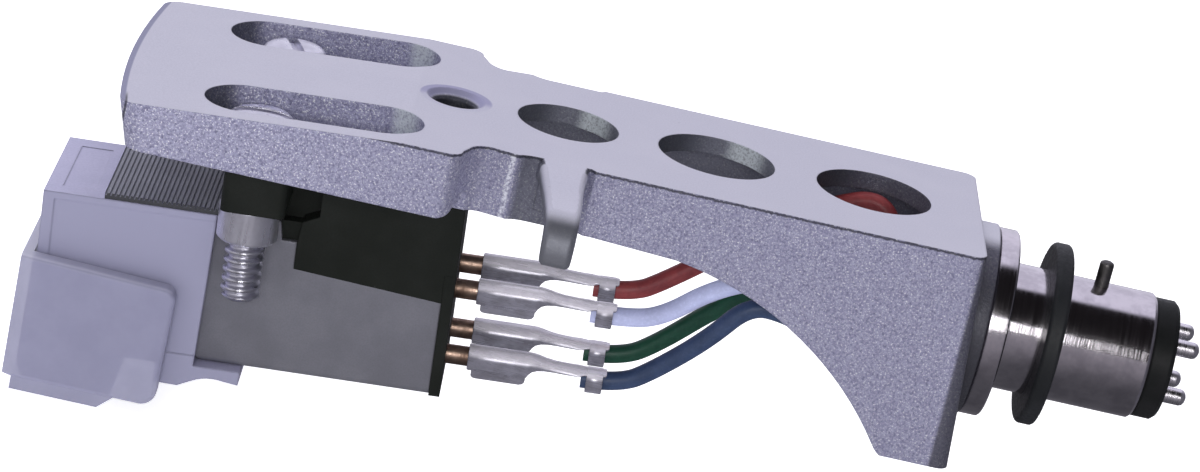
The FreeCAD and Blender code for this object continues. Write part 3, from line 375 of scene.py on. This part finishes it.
def insulation(name, colour, shade):
    """Soft extruded vinyl with faint lighter flecks."""
    m = Nodes(name, Specular_IOR_Level=0.38, Subsurface_Weight=0.0)
    slow = m.noise(0.9, 3, 0.6)
    fine = m.noise(6.0, 3, 0.6)
    c = m.mix(m.remap(slow, 0.3, 0.7), colour, shade)
    c = m.mix(m.remap(fine, 0.45, 0.75, 0.0, 0.22), c, tuple(min(1.0, v * 1.6 + 0.02) for v in colour))
    m.set("Base Color", c)
    m.set("Roughness", m.remap(fine, 0.3, 0.7, 0.38, 0.55))
    m.set("Normal", m.bump(fine, 0.3, 0.000015))
    return m.mat


M = {
    "cast_silver": cast_silver(),
    "plated_barrel": plated("plated_barrel", (0.80, 0.75, 0.80), (0.62, 0.58, 0.63), 0.11),
    "dark_pin": plated("dark_pin", (0.20, 0.19, 0.19), (0.12, 0.115, 0.11), 0.42, "Z"),
    "bright_steel": plated("bright_steel", (0.86, 0.85, 0.93), (0.72, 0.71, 0.79), 0.30, "Z"),
    "nut_steel": plated("nut_steel", (0.84, 0.83, 0.93), (0.70, 0.69, 0.78), 0.30, "X", 0.93),
    "gold_contact": plated("gold_contact", (0.92, 0.88, 0.93), (0.80, 0.77, 0.83), 0.26),
    "copper_pin": plated("copper_pin", (0.44, 0.31, 0.245), (0.20, 0.13, 0.098), 0.38),
    "black_rubber": moulded("black_rubber", (0.008, 0.009, 0.011), (0.014, 0.015, 0.018), 0.50, 5.0, 0.000015, 0.00018,
                            Specular_IOR_Level=0.32),
    "black_plastic": moulded("black_plastic", (0.007, 0.009, 0.007), (0.011, 0.013, 0.011), 0.55, 8.0, 0.00001, 0.00010,
                             specks=((0.30, 0.30, 0.34), 0.9, 0.035), Specular_IOR_Level=0.20),
    "black_cap": moulded("black_cap", (0.005, 0.006, 0.006), (0.010, 0.010, 0.011), 0.45, 7.0, 0.00001, 0.00015,
                         Specular_IOR_Level=0.18),
    "dark_rib": moulded("dark_rib", (0.34, 0.345, 0.41), (0.27, 0.275, 0.33), 0.42, 8.0, 0.000008, 0.00004, ends=(0.040, 0.041, 0.050)),
    "grey_shield": moulded("grey_shield", (0.24, 0.24, 0.28), (0.20, 0.20, 0.235), 0.40, 9.0, 0.000012, 0.00015,
                           specks=((0.62, 0.62, 0.68), 0.7, 0.05), Metallic=0.55),
    "pole_steel": plated("pole_steel", (0.42, 0.42, 0.45), (0.32, 0.32, 0.34), 0.35),
    "white_plastic": moulded("white_plastic", (0.54, 0.525, 0.73), (0.50, 0.49, 0.69), 0.46, 6.0, 0.000008, 0.00022, shaded_sides=(0.275, 0.273, 0.395),
                             specks=((0.16, 0.15, 0.20), 0.23, 0.045), Subsurface_Weight=0.0),
    "clear_plastic": clear_moulding(),
    "thin_alloy": plated("thin_alloy", (0.80, 0.80, 0.82), (0.66, 0.66, 0.70), 0.28),
    "magnet_grey": moulded("magnet_grey", (0.10, 0.10, 0.11), (0.07, 0.07, 0.08), 0.45, 9.0, Metallic=0.5),
    "damper_rubber": moulded("damper_rubber", (0.03, 0.03, 0.03), (0.05, 0.045, 0.04), 0.6, 8.0),
    "diamond": moulded("diamond", (0.75, 0.78, 0.82), (0.65, 0.68, 0.74), 0.08, 9.0, 0.000002, 0.00002),
    "enamel_wire": wound_wire(),
    "gold_clip": sheet_metal(),
    "red_insulation": insulation("red_insulation", (0.235, 0.037, 0.041), (0.172, 0.028, 0.033)),
    "white_insulation": insulation("white_insulation", (0.42, 0.45, 0.68), (0.365, 0.39, 0.60)),
    "green_insulation": insulation("green_insulation", (0.006, 0.056, 0.032), (0.004, 0.040, 0.024)),
    "blue_insulation": insulation("blue_insulation", (0.029, 0.051, 0.118), (0.022, 0.040, 0.094)),
}

WEARS = {
    "headshell": "cast_silver", "plug_barrel": "plated_barrel", "locating_pin": "dark_pin",
    "rubber_washer": "black_rubber", "contact_block": "black_cap", "shield_can": "grey_shield",
    "terminal_plate": "black_plastic", "ribbed_nose_plate": "dark_rib", "mounting_nuts": "nut_steel",
    "mounting_screws": "bright_steel", "pole_piece_left": "pole_steel", "pole_piece_right": "pole_steel",
    "coils_left": "enamel_wire", "coils_right": "enamel_wire", "stylus_tube": "thin_alloy",
    "damper": "damper_rubber", "pivot_sleeve": "copper_pin", "cantilever": "thin_alloy", "magnet": "magnet_grey",
    "suspension_wire": "pole_steel", "stylus_tip": "diamond", "stylus_holder": "white_plastic",
    "cartridge_body": "black_plastic", "stylus_guard": "clear_plastic",
}
for colour in ("red", "white", "green", "blue"):
    WEARS["contact_pin_" + colour] = "gold_contact"
    WEARS["terminal_pin_" + colour] = "copper_pin"
    WEARS["lead_clip_" + colour] = "gold_clip"
    WEARS["lead_" + colour] = colour + "_insulation"
for name, o in nodes.items():
    o.data.materials.clear()
    o.data.materials.append(M[WEARS[name]])


rounding = nodes["stylus_guard"].modifiers.new("soft_edges", "BEVEL")
rounding.width = 0.22 * MM
rounding.segments = 3
rounding.limit_method = "ANGLE"
rounding.angle_limit = math.radians(40)


# ------------------------------------------------------------------ helpers
def add_mesh(name, verts, faces, material, body, replaced=(), smooth=40, place=None):
    """A mesh piece from points in millimetres, placed by a millimetre frame."""
    place = place or Matrix.Identity(4)
    data = bpy.data.meshes.new(name)
    data.from_pydata([tuple((place @ Vector(v)) * MM) for v in verts], [], faces)
    data.validate()
    bm = bmesh.new()
    bm.from_mesh(data)
    bmesh.ops.remove_doubles(bm, verts=bm.verts, dist=1e-8)
    bmesh.ops.recalc_face_normals(bm, faces=bm.faces)
    bm.to_mesh(data)
    bm.free()
    data.materials.append(material)
    o = bpy.data.objects.new(name, data)
    scene.collection.objects.link(o)
    for p in data.polygons:
        p.use_smooth = True
    data.set_sharp_from_angle(angle=math.radians(smooth))
    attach(o, body)
    if replaced:
        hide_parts(*replaced)
    return o


def revolve(profile, steps=64, axis="Z", offset=(0, 0, 0)):
    """Closed solid of revolution about Z from (radius, height) points; ends on the axis or closes on itself."""
    verts, faces, rings = [], [], []
    for r, h in profile:
        if r < 1e-9:
            verts.append((0, 0, h))
            rings.append([len(verts) - 1])
        else:
            ring = []
            for i in range(steps):
                a = 2 * math.pi * i / steps
                verts.append((r * math.cos(a), r * math.sin(a), h))
                ring.append(len(verts) - 1)
            rings.append(ring)
    pairs = list(zip(rings[:-1], rings[1:]))
    if len(rings[0]) > 1 and len(rings[-1]) > 1:
        pairs.append((rings[-1], rings[0]))
    for a, b in pairs:
        for i in range(steps):
            j = (i + 1) % steps
            if len(a) == 1:
                faces.append((a[0], b[i], b[j]))
            elif len(b) == 1:
                faces.append((a[i], b[0], a[j]))
            else:
                faces.append((a[i], b[i], b[j], a[j]))
    verts = [(v[0] + offset[0], v[1] + offset[1], v[2] + offset[2]) for v in verts]
    return verts, faces


# ------------------------------------------------------------------- screws
SEAT, HEAD_HEIGHT = -0.5455, 1.3
PITCH_MM = 0.60


def screw_mesh(name, x, y, turn_deg, extra):
    """A cheese-head screw: a domed head with a driver slot, and a threaded shank."""
    steps = 96
    verts, faces = [], []
    # thread: a height field round the shank
    z_low, z_high = -11.45, SEAT - 0.05
    rows = int((z_high - z_low) / 0.05)
    grid = []
    for k in range(rows + 1):
        z = z_low + (z_high - z_low) * k / rows
        ring = []
        for i in range(steps):
            a = 2 * math.pi * i / steps
            phase = (z / PITCH_MM - i / steps) % 1.0
            crest = 1.0 - abs(2 * phase - 1.0)
            crest = min(1.0, max(0.0, (crest - 0.10) / 0.72))
            crest = crest * crest * (3 - 2 * crest)
            r = 0.93 + 0.29 * crest
            if z < z_low + 0.35:
                r = min(r, 0.80 + 0.42 * (z - z_low) / 0.35 + 0.10)
            verts.append((r * math.cos(a), r * math.sin(a), z))
            ring.append(len(verts) - 1)
        grid.append(ring)
    for a, b in zip(grid[:-1], grid[1:]):
        for i in range(steps):
            j = (i + 1) % steps
            faces.append((a[i], a[j], b[j], b[i]))
    verts.append((0, 0, z_low - 0.02))
    for i in range(steps):
        faces.append((len(verts) - 1, grid[0][(i + 1) % steps], grid[0][i]))
    verts.append((0, 0, z_high))
    for i in range(steps):
        faces.append((len(verts) - 1, grid[-1][i], grid[-1][(i + 1) % steps]))
    # head
    crown = SEAT + HEAD_HEIGHT + extra
    profile = [(0, SEAT), (1.6, SEAT), (1.93, SEAT + 0.04), (2.0, SEAT + 0.12), (2.0, crown - 0.56), (1.97, crown - 0.46), (1.88, crown - 0.35),
               (1.74, crown - 0.25), (1.50, crown - 0.15), (1.15, crown - 0.07), (0.75, crown - 0.025), (0.35, crown - 0.005), (0, crown)]
    hv, hf = revolve(profile, 72)
    data = bpy.data.meshes.new(name + "_head")
    data.from_pydata([Vector(v) for v in hv], [], hf)
    head = bpy.data.objects.new(name + "_head", data)
    scene.collection.objects.link(head)
    bm = bmesh.new()
    bm.from_mesh(data)
    bmesh.ops.recalc_face_normals(bm, faces=bm.faces)
    bm.to_mesh(data)
    bm.free()
    w, d = 0.35, 0.65
    a = math.radians(turn_deg)
    c, s = math.cos(a), math.sin(a)
    box = [(px, py, pz) for px in (-w, w) for py in (-3, 3) for pz in (crown - d, crown + 1)]
    box = [(px * c - py * s, px * s + py * c, pz) for px, py, pz in box]
    cut_data = bpy.data.meshes.new(name + "_cut")
    cut_data.from_pydata(box, [], [(0, 1, 3, 2), (4, 6, 7, 5), (0, 4, 5, 1), (2, 3, 7, 6), (0, 2, 6, 4), (1, 5, 7, 3)])
    bm = bmesh.new()
    bm.from_mesh(cut_data)
    bmesh.ops.recalc_face_normals(bm, faces=bm.faces)
    bm.to_mesh(cut_data)
    bm.free()
    cutter = bpy.data.objects.new(name + "_cut", cut_data)
    scene.collection.objects.link(cutter)
    mod = head.modifiers.new("slot", "BOOLEAN")
    mod.operation = "DIFFERENCE"
    mod.solver = "EXACT"
    mod.object = cutter
    dg = bpy.context.evaluated_depsgraph_get()
    cut = bpy.data.meshes.new_from_object(head.evaluated_get(dg))
    base = len(verts)
    verts += [tuple(v.co) for v in cut.vertices]
    faces += [tuple(base + i for i in p.vertices) for p in cut.polygons]
    bpy.data.objects.remove(head)
    bpy.data.objects.remove(cutter)
    return add_mesh(name, verts, faces, M["bright_steel"], "headshell_unit", smooth=35,
                    place=CART @ Matrix.Translation((x, y, 0)))


near_screw = screw_mesh("screw_near", -27.85, -6.35, 88, 0.0)
far_screw = screw_mesh("screw_far", -27.2, 6.35, 17, 0.5)
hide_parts("mounting_screws")


# -------------------------------------------------------------------- clips
WIRES = {"red": (1, -10.25), "white": (-1, -10.25), "green": (1, -14.66), "blue": (-1, -14.66)}


def clip_frame(colour):
    s, z = WIRES[colour]
    return CART @ Matrix.Translation((-14.0, s * 2.35, z))


def open_sheet(stations, thickness, count=29):
    """A strip of sheet rolled to a changing section. Each station is (x, centre z, radius, half angle, squash):
    the sheet runs round from -half angle to +half angle, measured from the top."""
    outer, inner = [], []
    for x, zc, r, half, squash in stations:
        a_ring, b_ring = [], []
        for i in range(count):
            a = math.radians(-half + 2 * half * i / (count - 1))
            for ring, rr in ((a_ring, r), (b_ring, r - thickness)):
                ring.append((x, rr * math.sin(a), zc + rr * math.cos(a) * squash))
        outer.append(a_ring)
        inner.append(b_ring)
    verts, faces = [], []
    def put(ring):
        verts.extend(ring)
        return list(range(len(verts) - len(ring), len(verts)))
    o = [put(r) for r in outer]
    n = [put(r) for r in inner]
    for a, b in zip(o[:-1], o[1:]):
        for i in range(count - 1):
            faces.append((a[i], b[i], b[i + 1], a[i + 1]))
    for a, b in zip(n[:-1], n[1:]):
        for i in range(count - 1):
            faces.append((a[i], a[i + 1], b[i + 1], b[i]))
    for k in range(len(stations) - 1):
        faces.append((o[k][0], n[k][0], n[k + 1][0], o[k + 1][0]))
        faces.append((o[k][-1], o[k + 1][-1], n[k + 1][-1], n[k][-1]))
    for k in (0, -1):
        for i in range(count - 1):
            f = (o[k][i], o[k][i + 1], n[k][i + 1], n[k][i])
            faces.append(f if k == 0 else f[::-1])
    return verts, faces


def plate(points_a, points_b):
    """A closed slab between two outlines of equal count."""
    n = len(points_a)
    verts = list(points_a) + list(points_b)
    faces = [tuple(range(n)), tuple(range(2 * n - 1, n - 1, -1))]
    for i in range(n):
        j = (i + 1) % n
        faces.append((i, n + i, n + j, j))
    return verts, faces


def joined(*parts):
    verts, faces = [], []
    for v, f in parts:
        base = len(verts)
        verts += v
        faces += [tuple(base + i for i in face) for face in f]
    return verts, faces


def clip_mesh(colour):
    # barrel, gathering into a waist channel and a flat strap, opening again over the crimp
    strip = [
        (0.55, 0.0, 0.80, 168, 1.0), (0.62, 0.0, 0.84, 168, 1.0), (2.2, 0.0, 0.84, 168, 1.0), (4.1, 0.0, 0.84, 166, 1.0),
        (4.30, 0.0, 0.84, 150, 1.0), (4.42, 0.0, 0.84, 118, 1.0), (4.62, 0.0, 0.83, 100, 1.0), (4.95, -0.02, 0.79, 90, 1.0),
        (5.4, -0.06, 0.72, 84, 1.0), (6.0, -0.10, 0.66, 82, 1.0), (6.9, -0.14, 0.65, 82, 1.0), (7.5, -0.26, 0.76, 72, 1.0),
        (7.9, -0.34, 0.80, 56, 1.0), (9.2, -0.34, 0.80, 48, 1.0), (9.30, -0.34, 0.78, 42, 1.0),
    ]
    tube = open_sheet(strip, 0.20)
    # crimp: the two ears close round the insulation
    ears = []
    for x, r in ((8.05, 0.79), (8.10, 0.83), (9.05, 0.83), (9.10, 0.79)):
        ears.append((x, -0.34, r, 172, 1.0))
    crimp = open_sheet(ears, 0.215)
    # the free edge of the sheet folds down below the slit, with a rounded tail
    edge = [(0.85, -0.66), (0.85, -1.12), (0.95, -1.24), (1.15, -1.28), (3.9, -1.28), (4.12, -1.22), (4.24, -1.08), (4.27, -0.90), (4.27, -0.66)]
    wing = plate([(x, -0.33, z) for x, z in edge], [(x, -0.14, z) for x, z in edge])
    tab = [(0.85, -0.60), (0.85, -0.84), (4.0, -0.84), (4.0, -0.60)]
    lip = plate([(x, 0.14, z) for x, z in tab], [(x, 0.31, z) for x, z in tab])
    v, f = joined(tube, crimp, wing, lip)
    o = add_mesh("clip_" + colour, v, f, M["gold_clip"], "headshell_unit", ("lead_clip_" + colour,), 50, clip_frame(colour))
    b = o.modifiers.new("soft_edges", "BEVEL")
    b.width = 0.03 * MM
    b.segments = 2
    b.limit_method = "ANGLE"
    b.angle_limit = math.radians(50)
    return o


for colour in WIRES:
    clip_mesh(colour)


# -------------------------------------------------------------------- leads
ROUTES = {
    "red": [(-1.1, 2.3, -9.5), (1.9, 2.4, -6.97), (5.2, 3.0, -4.4), (8.0, 3.3, -2.5), (10.9, 3.1, -1.3), (12.4, 2.3, -3.3)],
    "white": [(-1.0, -2.4, -10.16), (1.6, -2.5, -7.71), (4.6, -2.9, -6.14), (7.9, -2.9, -4.3), (10.8, -2.2, -4.2)],
    "green": [(-0.5, 2.3, -13.6), (2.2, 1.9, -10.65), (5.0, 1.0, -7.9), (8.4, 0.9, -7.6), (11.0, 1.3, -7.7)],
    "blue": [(-0.7, -2.5, -13.71), (2.0, -2.9, -10.85), (4.0, -3.2, -7.92), (6.4, -3.0, -8.05), (8.6, -2.4, -9.1), (10.9, -1.9, -8.7)],
}
CONTACTS = {"red": (1, 1), "white": (-1, 1), "green": (1, -1), "blue": (-1, -1)}


def lead_points(colour):
    """The route's points in millimetres: out of the crimp, along the channel, into the plug."""
    f = clip_frame(colour)
    sy, sz = CONTACTS[colour]
    start = [f @ Vector((7.72, 0, -0.34)), f @ Vector((10.2, 0, -0.34))]
    mids = [HEAD @ Vector(p) for p in ROUTES[colour]]
    end = HEAD @ Vector((12.9 if colour == "red" else 13.1, sy * 1.6, sz * 1.6 - 6.66))
    return start + mids + [end]


def lead_curve(colour):
    pts = lead_points(colour)
    data = bpy.data.curves.new("lead_" + colour + "_cord", "CURVE")
    data.dimensions = "3D"
    data.resolution_u = 14
    data.bevel_depth = 0.60 * MM
    data.bevel_resolution = 7
    data.use_fill_caps = True
    sp = data.splines.new("NURBS")
    sp.points.add(len(pts) - 1)
    for q, p in zip(sp.points, pts):
        q.co = (*(p * MM), 1.0)
    sp.order_u = 3
    sp.use_endpoint_u = True
    data.materials.append(M[colour + "_insulation"])
    o = bpy.data.objects.new("cord_" + colour, data)
    scene.collection.objects.link(o)
    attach(o, "headshell_unit")
    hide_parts("lead_" + colour)
    return o


for colour in ROUTES:
    lead_curve(colour)


# ------------------------------------------------------------ floor, lights
def plane(name, size, z, material):
    n = 1
    data = bpy.data.meshes.new(name)
    h = size / 2
    data.from_pydata([(-h, -h, z), (h, -h, z), (h, h, z), (-h, h, z)], [], [(0, 1, 2, 3)])
    data.materials.append(material)
    o = bpy.data.objects.new(name, data)
    scene.collection.objects.link(o)
    return o


paper = Nodes("floor_paper", Roughness=0.9, Specular_IOR_Level=0.1)
tone = paper.noise(0.05, 2)
paper.set("Base Color", paper.mix(tone, (0.93, 0.93, 0.945), (0.95, 0.95, 0.96)))
paper.set("Emission Color", (1.0, 1.0, 1.0))
paper.set("Emission Strength", 0.74)
floor = plane("floor", 6.0, FLOOR_Z, paper.mat)
floor.visible_glossy = False


def area(name, place, target, size, power, colour=(1, 1, 1), glossy=True, shape="RECTANGLE", size_y=None):
    data = bpy.data.lights.new(name, "AREA")
    data.shape = shape
    data.size = size
    data.size_y = size_y or size
    data.energy = power
    data.color = colour
    o = bpy.data.objects.new(name, data)
    o.location = place
    o.rotation_euler = (Vector(target) - Vector(place)).to_track_quat("-Z", "Y").to_euler()
    scene.collection.objects.link(o)
    o.visible_camera = False
    o.visible_glossy = glossy
    return o


CENTRE = (-0.027, 0.0, -0.003)
area("overhead", (-0.08, 0.02, 0.60), CENTRE, 0.7, 2.1, (1.0, 1.0, 1.0), glossy=False)
area("front_key", (-0.05, -0.46, 0.155), CENTRE, 0.20, 0.84, (1.0, 1.0, 1.0), size_y=0.13)
area("left_fill", (-0.50, -0.26, 0.22), CENTRE, 0.5, 0.42, (0.98, 0.98, 1.0))

# the room: a pale backdrop behind, dim above the front, grey below the horizon
world = bpy.data.worlds.new("studio")
scene.world = world
world.use_nodes = True
wt = world.node_tree
bg = wt.nodes["Background"]
direction = wt.nodes.new("ShaderNodeTexCoord")
parts = wt.nodes.new("ShaderNodeSeparateXYZ")
wt.links.new(direction.outputs["Generated"], parts.inputs[0])


def ramp(value, a, b, c=0.0, d=1.0):
    n = wt.nodes.new("ShaderNodeMapRange")
    n.interpolation_type = "SMOOTHSTEP"
    for i, v in enumerate((a, b, c, d)):
        n.inputs[i + 1].default_value = v
    wt.links.new(value, n.inputs[0])
    return n.outputs[0]


def blend_colour(fac, a, b):
    n = wt.nodes.new("ShaderNodeMix")
    n.data_type = "RGBA"
    wt.links.new(fac, n.inputs["Factor"])
    for k, v in ((6, a), (7, b)):
        if isinstance(v, tuple):
            n.inputs[k].default_value = (*v, 1.0)
        else:
            wt.links.new(v, n.inputs[k])
    return n.outputs[2]


below = blend_colour(ramp(parts.outputs[2], -0.95, 0.10), (0.075, 0.075, 0.085), (0.26, 0.25, 0.28))
front = blend_colour(ramp(parts.outputs[2], 0.13, 0.19), below, (0.010, 0.009, 0.010))
behind = blend_colour(ramp(parts.outputs[1], -0.02, 0.16), front, (0.72, 0.71, 0.83))
around = blend_colour(ramp(parts.outputs[2], -0.25, 0.0), below, behind)
room = blend_colour(ramp(parts.outputs[0], 0.25, 0.80), around, (0.10, 0.10, 0.12))
wt.links.new(room, bg.inputs["Color"])
bg.inputs["Strength"].default_value = 1.0
